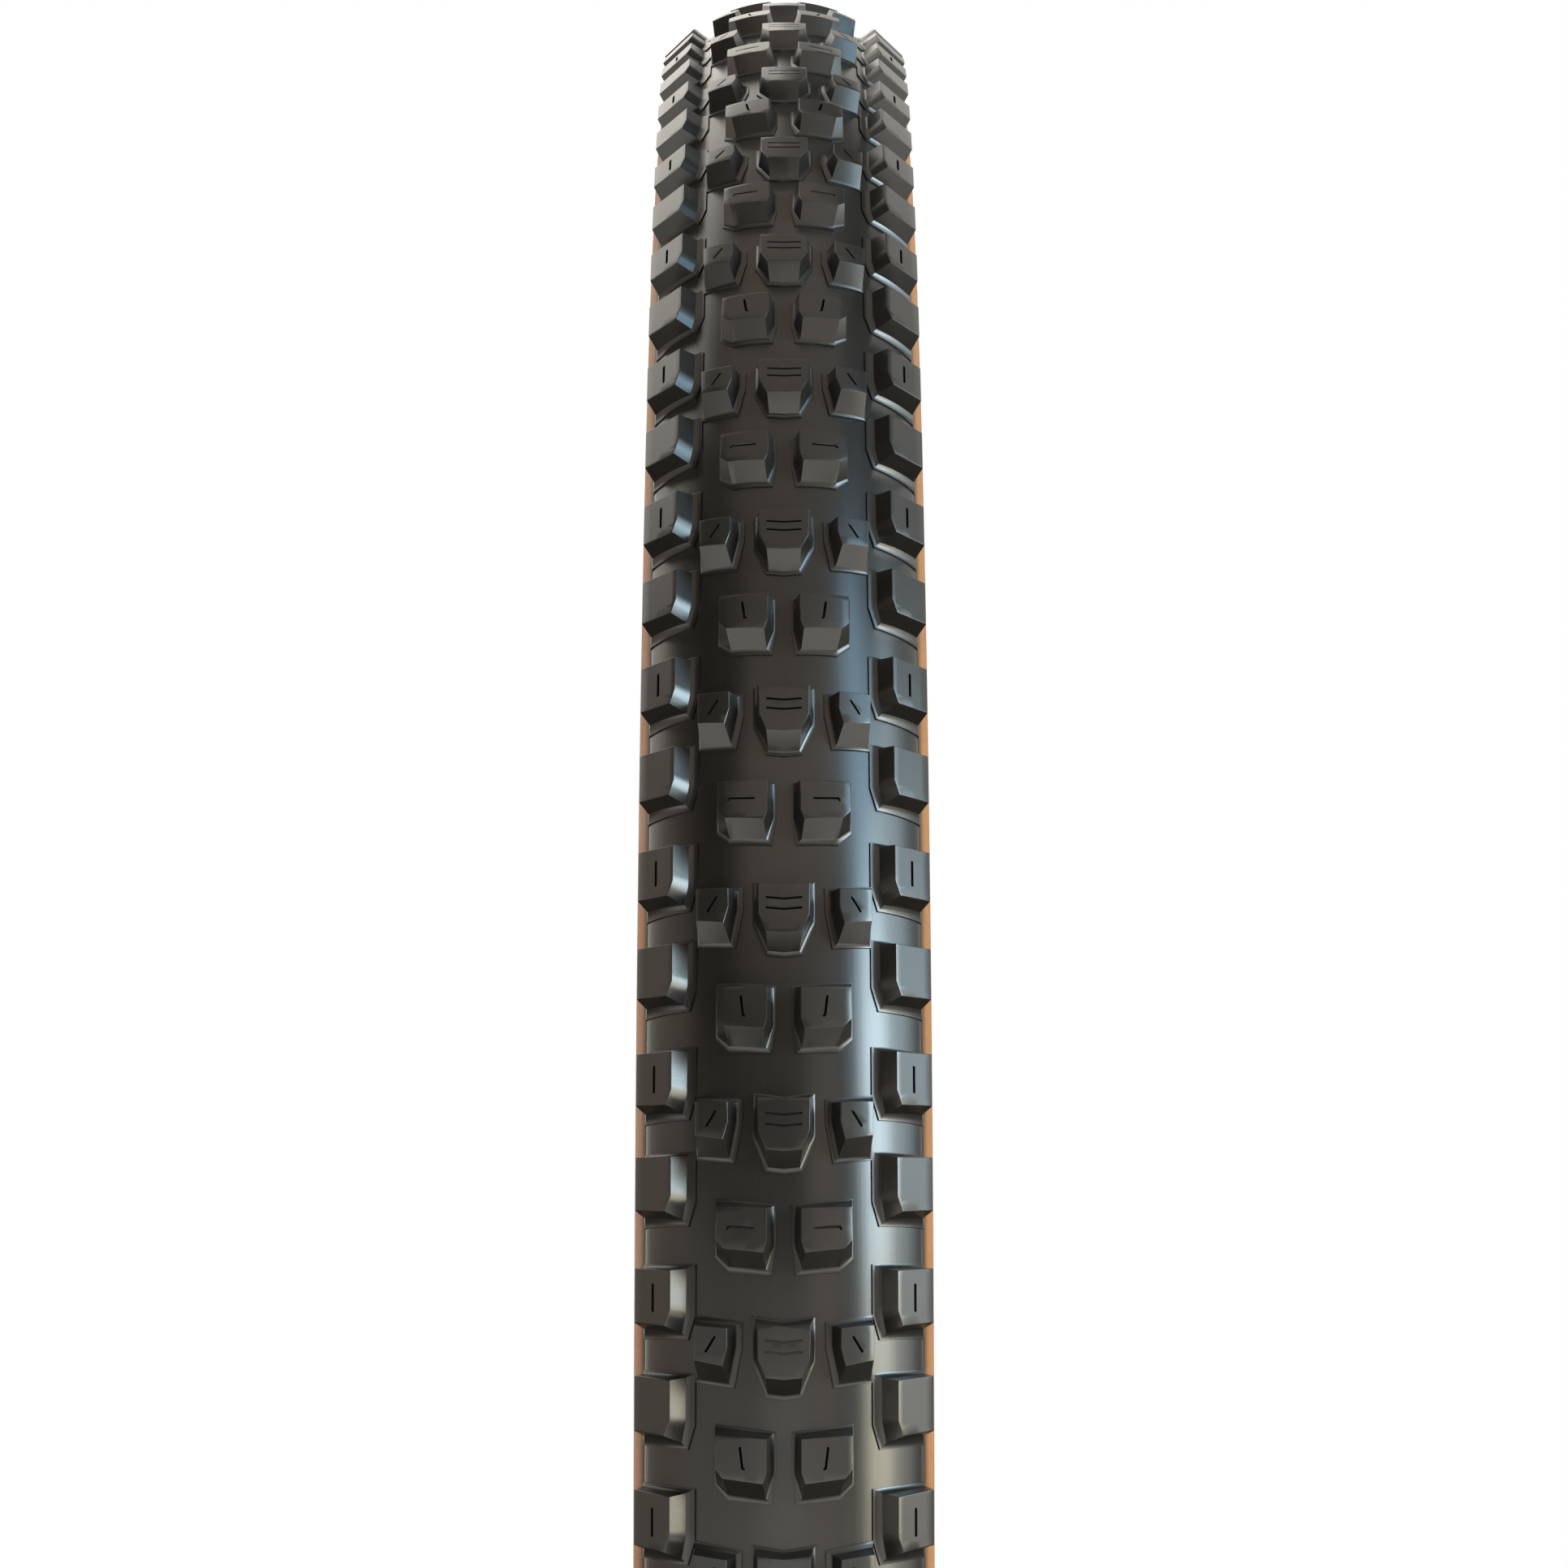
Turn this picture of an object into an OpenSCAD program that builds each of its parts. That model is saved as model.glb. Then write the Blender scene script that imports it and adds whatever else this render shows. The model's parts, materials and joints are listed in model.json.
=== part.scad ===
// Knobbly 29 inch bicycle tire with tan sidewalls, shown as fitted and inflated.
// The wheel centre is the origin, the axle runs along Y, Z is up, all in millimetres.
// Sections are drawn as [distance from the axle, distance from the centre plane].
// Tread outlines are drawn as [distance from the centre plane, distance round the tread].
// The right half is drawn first and the left half is its mirror image.

/* [Size] */
// Diameter of the rim's bead seat
bead_seat_diameter = 622; // [610:1:640]
// Height from the bead seat to the top of the centre knobs
section_height = 60.5; // [60:0.5:62]
// Overall width across the two sidewalls
casing_width = 59.7; // [59.3:0.1:60.3]
// Distance between the outer faces of the two beads
bead_spread = 30.4; // [30:0.2:31]

/* [Tread] */
// Radius of the arc over the knob tops
tread_radius = 38.5; // [38:0.1:39]
// Height of the centre knobs
knob_height = 4.3; // [3.8:0.1:4.4]
// Half repeats of the pattern round the tire
half_repeats = 52; // [46:2:56]
// Turn of the pattern from the front of the tire
pattern_turn = 2.28; // [0:0.01:6.92]
// Width of the sipes
sipe_width = 0.45; // [0.3:0.05:0.6]
// Depth of the sipes
sipe_depth = 2; // [1:0.1:2.5]

/* [Layers] */
// Thickness of the tread rubber between the knobs
tread_base_thickness = 1.3; // [1.1:0.1:1.5]
// Thickness of the puncture strip under the tread
breaker_thickness = 0.5; // [0.3:0.1:0.7]
// Thickness of the rubber skin on the sidewalls
skin = 0.5; // [0.4:0.05:0.6]
// Thickness of each casing ply
ply = 0.4; // [0.3:0.05:0.45]
// Thickness of the airtight liner
liner = 0.3; // [0.2:0.05:0.4]

/* [Bead] */
// Diameter of the cable in each bead
bead_core_diameter = 3.6; // [3.2:0.1:3.8]
// Rounding of the heel of the bead
heel_rounding = 1; // [0.6:0.1:1.2]

/* [Hidden] */

// Crown: the arcs of the tread and of the casing under it share one centre.
bead_seat_radius = bead_seat_diameter / 2;
tire_radius = bead_seat_radius + section_height;
crown_centre = [tire_radius - tread_radius, 0];
base_radius = tread_radius - knob_height;
casing_radius = base_radius - tread_base_thickness;
breaker_edge = 40;
tread_edge = 55;

// Shoulder: a tighter arc from the crown to the widest point of the casing.
shoulder_start = 50;
shoulder_radius = (casing_width / 2 - skin - casing_radius * sin(shoulder_start))
    / (1 - sin(shoulder_start));
shoulder_centre = polar(crown_centre, casing_radius - shoulder_radius, shoulder_start);

// Lower sidewall: a wider arc from the widest point down to the bead.
side_radius = 27;
side_centre = [shoulder_centre[0], shoulder_centre[1] + shoulder_radius - side_radius];

// Bead: the plies come down inside the cable, pass under it and turn up outside it.
core_radius = bead_core_diameter / 2;
loop_radius = core_radius + 2 * ply;
core = [bead_seat_radius + skin + loop_radius, bead_spread / 2 - skin - loop_radius];
toe_radius = 3.2;
toe_angle = acos((core[1] - core_radius + toe_radius - side_centre[1])
    / (side_radius + toe_radius));
toe_centre = polar(side_centre, side_radius + toe_radius, 90 + toe_angle);
turn_up_face = core[1] + loop_radius;
flange_radius = 5;
flange_angle = acos((turn_up_face + flange_radius - side_centre[1])
    / (side_radius + flange_radius));
flange_centre = polar(side_centre, side_radius + flange_radius, 90 + flange_angle);
turn_up_end = 270 + flange_angle - 17;
chafer_top = 40;
toe_face = core[1] - loop_radius - liner;
toe_rounding = 0.6;
toe_height = 2;
filler_gap = 0.8;
lap = 2;
core_depth = 5;
haunch_angle = 70;
waste_angle = 60;

// Side knobs: flat tops leaning outward, drawn by the corners of their section.
side_top_inner = [tire_radius - 6.75, 22.4];
side_top_outer = [tire_radius - 13.3, 29.4];
side_foot_inner = [side_top_inner[0] - 3.25, 18.8];
side_foot_outer = on_shoulder(tread_edge - 1);
side_slope = (side_top_outer[0] - side_top_inner[0]) / (side_top_outer[1] - side_top_inner[1]);

// Outlines of the knob tops, with how far each wall runs out from the top to its foot.
shield_face = [[5.25, 10.7], [5.1, 3.9], [3.5, 0.3], [0, -0.15], [-3.5, 0.3], [-5.1, 3.9],
    [-5.25, 10.7]];
shield_runs = [0.4, 0.9, 3, 3, 0.9, 0.4];
shield_notch = [0, 10.3];
shield_top_run = 1;
shield_sipe_starts = [[0, 4.7], [0, 7]];
shield_sipe_reach = 3.48;
shield_sipe_rise = 0.6;
transition_face = [[11.15, 9.9], [17.6, 11], [17.45, 4.05], [12.15, 2.75], [11.1, 6.6]];
transition_runs = [1.2, -0.8, 3.1, 1.9, 1.85];
transition_sipe = [[13.4, 8.45], [15.27, 5.4]];
pair_face = [[3.35, 33.3], [13.3, 34.15], [13.2, 27.3], [11.8, 25.7], [4, 24.65], [3.35, 27]];
pair_runs = [1.3, -0.2, 0.95, 2.85, 1.45, 1.5];
pair_transverse_sipe = [[5.93, 29.4], [11.17, 29.9]];
pair_longitudinal_sipe = [[8.03, 27.8], [8.56, 31.8]];
pair_sipe_hook = [[7.5, 27.65], [8.15, 27.8]];
side_face = [[22.35, 22.1], [29.4, 23.5], [29.4, 12.4], [23.4, 11.2], [22.35, 14.2]];
side_runs = [1.35, undef, 0.9, 3.3, undef];
plain_shift = -21.9;
side_sipe = [[25.75, 14.4], [25.75, 19.75]];
sipe_clearance = 2;
knob_margin = 5;
shield_span = [-8, 8];
transition_span = [7, 21];
pair_span = [0.5, 17];
reach = 40;
arc_steps = 144;
ring_steps = 240;

function polar(centre, radius, angle) =
    [centre[0] + radius * cos(angle), centre[1] + radius * sin(angle)];
function turn(s) = s / tire_radius * 180 / PI;
function in_space(height, y, s) = [height * cos(turn(s)), height * sin(turn(s)), y];
function on_shoulder(angle) =
    polar(shoulder_centre, shoulder_radius + tread_base_thickness, angle);
function crown_height(y) = crown_centre[0] + sqrt(tread_radius * tread_radius - y * y);
function side_height(y) = side_top_inner[0] + side_slope * (y - side_top_inner[1]);
function base_height(y) = crown_centre[0] + sqrt(base_radius * base_radius - y * y);
function top_point(p, is_side) =
    in_space(is_side ? side_height(p[0]) : crown_height(p[0]), p[0], p[1]);
function base_point(p) = in_space(base_height(p[0]), p[0], p[1]);
function unit(v) = v / norm(v);
function middle(points, i = 0) =
    i == len(points) ? [0, 0] : points[i] / len(points) + middle(points, i + 1);

// Flat shapes

module disc(centre, radius) {
    translate(centre)
        circle(radius, $fn = arc_steps);
}

// A slice of a disc between two angles, up to 120 degrees
module pie(centre, radius, from, to) {
    intersection() {
        disc(centre, radius);
        polygon([centre, polar(centre, 2 * radius, from),
            polar(centre, 2 * radius, (from + to) / 2), polar(centre, 2 * radius, to)]);
    }
}

module both_sides() {
    children();
    mirror([0, 1])
        children();
}

// Everything inside the casing. Layers are differences between two of these, each given by
// its distance outside the plies, and foot is how low it runs beside the bead cable.
// Each tighter arc runs a little past its end, so that the pieces always overlap.
module inside(offset, foot) {
    pie(crown_centre, casing_radius + offset, -shoulder_start, shoulder_start);
    both_sides() {
        pie(shoulder_centre, shoulder_radius + offset, shoulder_start - lap, 90 + lap);
        pie(side_centre, side_radius + offset, 90, 90 + toe_angle + lap);
        difference() {
            polygon([side_centre, toe_centre, [toe_centre[0], 0], [side_centre[0], 0]]);
            disc(toe_centre, toe_radius - offset);
        }
        translate([foot, 0])
            square([toe_centre[0] + lap / 10 - foot, core[1] - core_radius + offset]);
        polygon([[side_centre[0] - side_radius / 2, 0],
            polar(side_centre, side_radius - core_depth, 90 + toe_angle / 2),
            polar(side_centre, side_radius - core_depth, 90),
            polar(shoulder_centre, shoulder_radius - core_depth, haunch_angle),
            polar(crown_centre, casing_radius - core_depth, shoulder_start),
            polar(crown_centre, casing_radius - core_depth, shoulder_start / 2),
            polar(crown_centre, casing_radius - core_depth, 0)]);
    }
}

// Everything on the bead cable's side of the ply that turns up round it
module bead_loop(offset) {
    radius = core_radius - offset;
    height = flange_centre[0] + flange_radius - core[0];
    disc(core, radius);
    difference() {
        translate([core[0], core[1] - radius])
            square([height, flange_centre[1] - core[1] + radius]);
        disc(flange_centre, flange_radius + 2 * ply + offset);
        translate([core[0] - 1, core[1] + radius])
            square([flange_centre[0] + lap / 10 - core[0] + 1, flange_centre[1]]);
    }
}

// The sector beyond the upper edge of the turned-up plies
module past_turn_up() {
    polygon([flange_centre, polar(flange_centre, 2 * flange_radius, turn_up_end),
        polar(flange_centre, 2 * flange_radius, turn_up_end + waste_angle)]);
}

// The crown as far down as the edge of the tread, or as the given angle
module above(centre, angle) {
    both_sides()
        polygon([[centre[0], 0], centre, polar(centre, reach, angle),
            [centre[0] + 2 * reach, centre[1]], [centre[0] + 2 * reach, 0]]);
}

module layer(from, to, foot = core[0]) {
    difference() {
        inside(to, foot);
        inside(from, foot);
    }
}

module ply_section(from, to) {
    layer(from, to);
    both_sides()
        difference() {
            bead_loop(from);
            bead_loop(to);
            disc(side_centre, side_radius);
            past_turn_up();
            translate([toe_centre[0], 0])
                square([reach, core[1]]);
        }
}

module breaker_section() {
    intersection() {
        layer(0, breaker_thickness);
        above(crown_centre, breaker_edge);
    }
}

module tread_base_section() {
    difference() {
        intersection() {
            layer(0, tread_base_thickness);
            above(shoulder_centre, tread_edge);
        }
        breaker_section();
    }
}

// The outer skin from the edge of the tread down to a given angle
module skin_section(low) {
    intersection() {
        difference() {
            layer(0, skin);
            above(shoulder_centre, tread_edge);
        }
        polygon([side_centre, [side_centre[0] + reach, side_centre[1]],
            [side_centre[0] + reach, side_centre[1] + reach], polar(side_centre, reach, 90),
            polar(side_centre, reach, 90 + low)]);
    }
}

module sidewall_section() {
    skin_section(chafer_top);
}

module filler_section() {
    difference() {
        bead_loop(0);
        inside(0, core[0]);
        disc(core, core_radius);
        square([core[0] + filler_gap, 2 * core[1]]);
    }
}

// The bead's foot as a square block with its heel and toe rounded off
module foot_block() {
    width = turn_up_face + skin - toe_face;
    heel = [bead_seat_radius + heel_rounding, toe_face + width - heel_rounding];
    toe = [bead_seat_radius + toe_rounding, toe_face + toe_rounding];
    disc(heel, heel_rounding);
    disc(toe, toe_rounding);
    translate([bead_seat_radius, toe[1]])
        square([toe_rounding, heel[1] - toe[1]]);
    translate([toe[0], toe_face])
        square([toe_height - toe_rounding, width / 2]);
    translate([heel[0], toe_face + width / 2])
        square([core[0] - heel[0], width / 2]);
    translate([toe[0], toe[1]])
        square([heel_rounding - toe_rounding, heel[1] - toe[1]]);
}

module chafer_section() {
    outer_face = turn_up_face + skin;
    difference() {
        skin_section(flange_angle + lap);
        skin_section(chafer_top);
    }
    difference() {
        union() {
            foot_block();
            intersection() {
                translate([core[0] - lap / 10, core[1]])
                    square([reach, reach]);
                pie(flange_centre, reach, 180, 270 + flange_angle);
            }
        }
        bead_hollow();
        disc(side_centre, side_radius);
        disc(flange_centre, flange_radius - skin);
        translate([0, outer_face])
            square([flange_centre[0] + lap / 10, reach]);
    }
}

// The space the turned-up plies take up inside the chafer
module bead_hollow() {
    difference() {
        bead_loop(-2 * ply);
        past_turn_up();
    }
}

module side_knob_section() {
    difference() {
        polygon([side_foot_inner, side_top_inner, side_top_outer, side_foot_outer,
            shoulder_centre]);
        pie(crown_centre, base_radius, 0, shoulder_start);
        pie(shoulder_centre, shoulder_radius + tread_base_thickness, shoulder_start, 90);
    }
}

// Knobs

// Everything on the far side of the plane through three points, seen from a point inside
module beyond(a, b, c, inside) {
    across = unit(cross(b - a, c - a));
    out = across * (inside - a) > 0 ? -across : across;
    along = unit(b - a);
    up = cross(out, along);
    multmatrix([[along[0], up[0], out[0], a[0]], [along[1], up[1], out[1], a[1]],
            [along[2], up[2], out[2], a[2]], [0, 0, 0, 1]])
        translate([-reach, -reach, 0])
            cube([2 * reach, 2 * reach, reach]);
}

// What a sloping wall between two corners of the top leaves outside it
module wall_waste(a, b, run, inside, is_side) {
    edge = unit(b - a);
    foot = (a + b) / 2 + run * [-edge[1], edge[0]];
    beyond(top_point(a, is_side), top_point(b, is_side), base_point(foot),
        top_point(inside, is_side));
}

module knob(face, runs, is_side = false) {
    centre = middle(face);
    heights = [for (p = face) p[1]];
    start = min(heights) - knob_margin;
    end = max(heights) + knob_margin;
    difference() {
        rotate([0, 0, turn(start)])
            rotate_extrude(angle = turn(end - start), $fn = ring_steps)
                children(0);
        for (i = [0 : len(runs) - 1])
            if (runs[i] != undef)
                wall_waste(face[i], face[(i + 1) % len(face)], runs[i], centre, is_side);
    }
}

// A piece of the ring between the tread base and the knob tops
module crown_section(span) {
    intersection() {
        difference() {
            disc(crown_centre, tread_radius);
            disc(crown_centre, base_radius);
        }
        translate([crown_centre[0], span[0]])
            square([2 * tread_radius, span[1] - span[0]]);
    }
}

// A slot square to the knob's top, between two points of it
module sipe(ends, is_side = false) {
    start = top_point(ends[0], is_side);
    along = unit(top_point(ends[1], is_side) - start);
    length = norm(top_point(ends[1], is_side) - start);
    middle_point = (ends[0] + ends[1]) / 2;
    lean = is_side ? atan(-side_slope) : asin(middle_point[0] / tread_radius);
    rise = [cos(lean) * cos(turn(middle_point[1])), cos(lean) * sin(turn(middle_point[1])),
        sin(lean)];
    across = unit(cross(rise, along));
    out = cross(along, across);
    multmatrix([[along[0], across[0], out[0], start[0]], [along[1], across[1], out[1], start[1]],
            [along[2], across[2], out[2], start[2]], [0, 0, 0, 1]])
        translate([0, -sipe_width / 2, -sipe_depth])
            cube([length, sipe_width, sipe_depth + sipe_clearance]);
}

module shield_knob() {
    centre = middle(shield_face);
    difference() {
        knob(shield_face, shield_runs)
            crown_section(shield_span);
        intersection() {
            wall_waste(shield_notch, shield_face[0], shield_top_run, centre);
            wall_waste(shield_face[6], shield_notch, shield_top_run, centre);
        }
        for (start = shield_sipe_starts)
            for (side = [-1, 1])
                sipe([start, start + [side * shield_sipe_reach, shield_sipe_rise]]);
    }
}

module transition_knob() {
    difference() {
        knob(transition_face, transition_runs)
            crown_section(transition_span);
        sipe(transition_sipe);
    }
}

module pair_knob() {
    knob(pair_face, pair_runs)
        crown_section(pair_span);
}

module pair_knob_transverse() {
    difference() {
        pair_knob();
        sipe(pair_transverse_sipe);
    }
}

module pair_knob_longitudinal() {
    difference() {
        pair_knob();
        sipe(pair_longitudinal_sipe);
        sipe(pair_sipe_hook);
    }
}

module side_knob() {
    knob(side_face, side_runs, true)
        side_knob_section();
}

module side_knob_siped() {
    difference() {
        side_knob();
        sipe(side_sipe, true);
    }
}

// Placing round the axle

// Stands the axle along Y
module upright() {
    rotate([90, 0, 0])
        children();
}

module round_tire(first, step) {
    upright()
        for (i = [first : step : half_repeats - 1])
            rotate([0, 0, pattern_turn + i * 360 / half_repeats])
                children();
}

module ring() {
    upright()
        rotate_extrude($fn = ring_steps)
            children();
}

module both_halves() {
    children();
    mirror([0, 0, 1])
        children();
}

module to_left() {
    mirror([0, 1, 0])
        children();
}

// Sub-parts

module centre_shield_knobs() {
    color("#2b2a28")
        round_tire(0, 1)
            shield_knob();
}

module centre_pair_knobs_transverse() {
    color("#2e2c2a")
        round_tire(0, 2)
            both_halves()
                pair_knob_transverse();
}

module centre_pair_knobs_longitudinal() {
    color("#312f2c")
        round_tire(1, 2)
            both_halves()
                pair_knob_longitudinal();
}

module transition_knobs_right() {
    color("#33302d")
        round_tire(0, 1)
            transition_knob();
}

module transition_knobs_left() {
    to_left()
        transition_knobs_right();
}

module side_knobs_siped_right() {
    color("#353230")
        round_tire(0, 1)
            side_knob_siped();
}

module side_knobs_siped_left() {
    to_left()
        side_knobs_siped_right();
}

module side_knobs_plain_right() {
    color("#383532")
        round_tire(0, 1)
            rotate([0, 0, turn(plain_shift)])
                side_knob();
}

module side_knobs_plain_left() {
    to_left()
        side_knobs_plain_right();
}

module tread_base() {
    color("#262523")
        ring()
            tread_base_section();
}

module breaker_strip() {
    color("#c8a43c")
        ring()
            breaker_section();
}

module casing_ply_outer() {
    color("#b08a5a")
        ring()
            ply_section(-ply, 0);
}

module casing_ply_inner() {
    color("#a07c50")
        ring()
            ply_section(-2 * ply, -ply);
}

module inner_liner() {
    color("#1e1e20")
        ring()
            layer(-2 * ply - liner, -2 * ply, bead_seat_radius + toe_height);
}

module sidewall_right() {
    color("#b98a55")
        ring()
            sidewall_section();
}

module sidewall_left() {
    to_left()
        sidewall_right();
}

module bead_core_right() {
    color("#8c8f94")
        ring()
            disc(core, core_radius);
}

module bead_core_left() {
    to_left()
        bead_core_right();
}

module bead_filler_right() {
    color("#3a3a3c")
        ring()
            filler_section();
}

module bead_filler_left() {
    to_left()
        bead_filler_right();
}

module chafer_right() {
    color("#2a2a2c")
        ring()
            chafer_section();
}

module chafer_left() {
    to_left()
        chafer_right();
}

centre_shield_knobs();
centre_pair_knobs_transverse();
centre_pair_knobs_longitudinal();
transition_knobs_left();
transition_knobs_right();
side_knobs_siped_left();
side_knobs_siped_right();
side_knobs_plain_left();
side_knobs_plain_right();
tread_base();
breaker_strip();
casing_ply_outer();
casing_ply_inner();
inner_liner();
sidewall_left();
sidewall_right();
bead_core_left();
bead_core_right();
bead_filler_left();
bead_filler_right();
chafer_left();
chafer_right();
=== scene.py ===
"""A knobbly 29 inch bicycle tire with tan sidewalls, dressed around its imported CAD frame.

The tire stands upright at the origin: its axle lies along Y and the camera looks along -X.
A section point is (distance from the axle, distance from the centre plane). A tread point is
(distance from the centre plane, distance round the tread). Both are in millimetres, and
become metres when they are placed round the axle.
"""

import json
import math
from collections import Counter

import bmesh
import bpy
import numpy as np
from mathutils import Euler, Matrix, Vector, geometry


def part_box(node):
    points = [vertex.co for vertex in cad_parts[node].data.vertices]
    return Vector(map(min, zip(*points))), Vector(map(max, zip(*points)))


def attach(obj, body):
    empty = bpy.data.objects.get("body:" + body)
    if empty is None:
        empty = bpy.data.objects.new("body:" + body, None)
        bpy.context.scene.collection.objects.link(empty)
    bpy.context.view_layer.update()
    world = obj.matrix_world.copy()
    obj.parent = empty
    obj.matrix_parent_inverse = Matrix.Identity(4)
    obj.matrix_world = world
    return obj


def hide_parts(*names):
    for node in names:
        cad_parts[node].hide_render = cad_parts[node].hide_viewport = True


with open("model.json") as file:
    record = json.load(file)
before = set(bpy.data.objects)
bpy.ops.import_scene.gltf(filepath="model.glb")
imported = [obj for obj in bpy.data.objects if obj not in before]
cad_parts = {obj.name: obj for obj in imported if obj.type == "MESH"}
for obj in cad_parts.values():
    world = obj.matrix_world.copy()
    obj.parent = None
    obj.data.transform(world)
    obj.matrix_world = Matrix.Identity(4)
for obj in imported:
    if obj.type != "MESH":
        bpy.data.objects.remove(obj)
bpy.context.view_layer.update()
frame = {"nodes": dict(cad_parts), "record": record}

MM = 0.001
SEED = 29
rng = np.random.default_rng(SEED)

# Driving sizes, in millimetres. Those that the frame holds are read from it.
KNOB_HEIGHT = 4.3
TREAD_RADIUS = 38.5
TREAD_BASE = 1.3
BREAKER = 0.5
SKIN = 0.5
PLY = 0.4
LINER = 0.3
HALF_REPEATS = 52
PATTERN_TURN = math.radians(2.28)  # from the front of the tire up to the first half repeat
mounts = {mount["name"]: mount for mount in frame["record"]["mounts"]}
bead_seat = mounts["bead_seat_left"]["dims"]["r_mm"]
bead_face = mounts["flange_face_left"]["pos_m"][1] / MM
half_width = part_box("sidewall_left")[1].y / MM
tire_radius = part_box("tread_base")[1].x / MM + KNOB_HEIGHT

# Crown: the arcs over the knob tops, the tread base and the casing share one centre.
crown_centre = (tire_radius - TREAD_RADIUS, 0.0)
base_radius = TREAD_RADIUS - KNOB_HEIGHT
casing_radius = base_radius - TREAD_BASE

# Where the breaker strip and the tread base end, in degrees round the section from the crown
BREAKER_EDGE = 40
TREAD_EDGE = 55

# Shoulder: a tighter arc, from this angle round the crown to the widest point of the casing.
SHOULDER_START = 50
shoulder_sine = math.sin(math.radians(SHOULDER_START))
shoulder_radius = (half_width - SKIN - casing_radius * shoulder_sine) / (1 - shoulder_sine)


def polar(centre, radius, degrees):
    """A section point at a distance and an angle from a centre; 0 points away from the axle."""
    angle = math.radians(degrees)
    return (centre[0] + radius * math.cos(angle), centre[1] + radius * math.sin(angle))


shoulder_centre = polar(crown_centre, casing_radius - shoulder_radius, SHOULDER_START)

# Lower sidewall: a wider arc from the widest point down to the bead.
SIDE_RADIUS = 27
side_centre = (shoulder_centre[0], shoulder_centre[1] + shoulder_radius - SIDE_RADIUS)

# Bead: the plies come down inside the cable, pass under it and turn up outside it.
CORE_RADIUS = 1.8
FOOT = 0.5
loop_radius = CORE_RADIUS + 2 * PLY
core = (bead_seat + FOOT + loop_radius, bead_face - SKIN - loop_radius)
TOE_RADIUS = 3.2
toe_angle = math.degrees(
    math.acos((core[1] - CORE_RADIUS + TOE_RADIUS - side_centre[1]) / (SIDE_RADIUS + TOE_RADIUS))
)
toe_centre = polar(side_centre, SIDE_RADIUS + TOE_RADIUS, 90 + toe_angle)
turn_up_face = bead_face - SKIN
FLANGE_RADIUS = 5
flange_angle = math.degrees(
    math.acos((turn_up_face + FLANGE_RADIUS - side_centre[1]) / (SIDE_RADIUS + FLANGE_RADIUS))
)
flange_centre = polar(side_centre, SIDE_RADIUS + FLANGE_RADIUS, 90 + flange_angle)

# Chafer: its top edge, in degrees below the widest point, and the shape of its foot.
CHAFER_TOP = 40
HEEL_ROUNDING = 1
TOE_ROUNDING = 0.6
TOE_HEIGHT = 2
toe_face = core[1] - loop_radius - LINER

# A hair's gap keeps the surfaces of touching layers apart.
HAIR = 0.02

# The tan rubber is dark nearer the centre plane than the first of these, which is towards the
# tread and towards the chafer, and fully tan beyond the second.
FADE_START = 27.4
FADE_END = 28.8

# Side knobs: flat tops leaning outward, drawn as a line across the section.
SIDE_TOP_INNER = (tire_radius - 6.75, 22.4)
SIDE_TOP_OUTER = (tire_radius - 13.3, 29.4)
side_slope = (SIDE_TOP_OUTER[0] - SIDE_TOP_INNER[0]) / (SIDE_TOP_OUTER[1] - SIDE_TOP_INNER[1])

# Moulding details of the knobs: rounded edges, a raised band round the foot, and the sipes
EDGE_BEVEL = 0.14
ROUND_SHARE = 0.45
KNOB_SHARP = 18
BAND_STEP = 0.32
BAND_SLOPE = 0.32
BAND_RISE_MAX = 0.7
BAND_RINGS = 6
ROOT_DEPTH = 0.2
ROOT_SPREAD = 0.05
SIPE_WIDTH = 0.5
SIPE_DEPTH = 2
SHALLOW_SIPE = 1.2
SIPE_END_STEPS = 4

# How finely the meshes are cut: distances in millimetres, and arc steps in degrees
FACE_GRID = 1.5
GRID_CLEARANCE = 0.4 * FACE_GRID
EDGE_STEP = 1.3
RING_STEPS = 14 * HALF_REPEATS
CROWN_STEP = 2.5
SIDE_STEP = 3
FEWEST_STEPS = 2
TOE_STEPS = 5
ROUNDING_STEPS = 6
FILLET_STEPS = 8
CORE_STEPS = 16
RING_SHARP = 32

# Distances below which two lines are parallel, or two points are one
PARALLEL = 1e-6
ON_CENTRE = 1e-6
WELD = 1e-5
REPEATED = 1e-4


# Heights of the knob tops and of the tread base over the axle


def crown_top(y):
    """Height of the centre and transition knobs' tops at y."""
    return crown_centre[0] + math.sqrt(TREAD_RADIUS**2 - y**2)


def side_top(y):
    """Height of the side knobs' tops at y."""
    return SIDE_TOP_INNER[0] + side_slope * (y - SIDE_TOP_INNER[1])


def base_height(y, lift=0.0):
    """Height of the tread base at y, or of the surface that lies lift outside it."""
    radius = base_radius + lift
    if abs(y) <= radius * shoulder_sine:
        return crown_centre[0] + math.sqrt(radius**2 - y**2)
    radius = shoulder_radius + TREAD_BASE + lift
    return shoulder_centre[0] + math.sqrt(radius**2 - (abs(y) - shoulder_centre[1]) ** 2)


# Flat outlines


def unit(vector):
    """The vector with a length of 1."""
    return vector / np.linalg.norm(vector)


def outward(a, b):
    """The direction out of a clockwise outline across its edge from a to b."""
    edge = unit(np.subtract(b, a))
    return np.array([-edge[1], edge[0]])


def meet(p, d, q, e):
    """Where the line through p along d meets the line through q along e."""
    spread = d[0] * e[1] - d[1] * e[0]
    if abs(spread) < PARALLEL:
        return (p + q) / 2
    gap = q - p
    return p + d * (gap[0] * e[1] - gap[1] * e[0]) / spread


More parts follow.
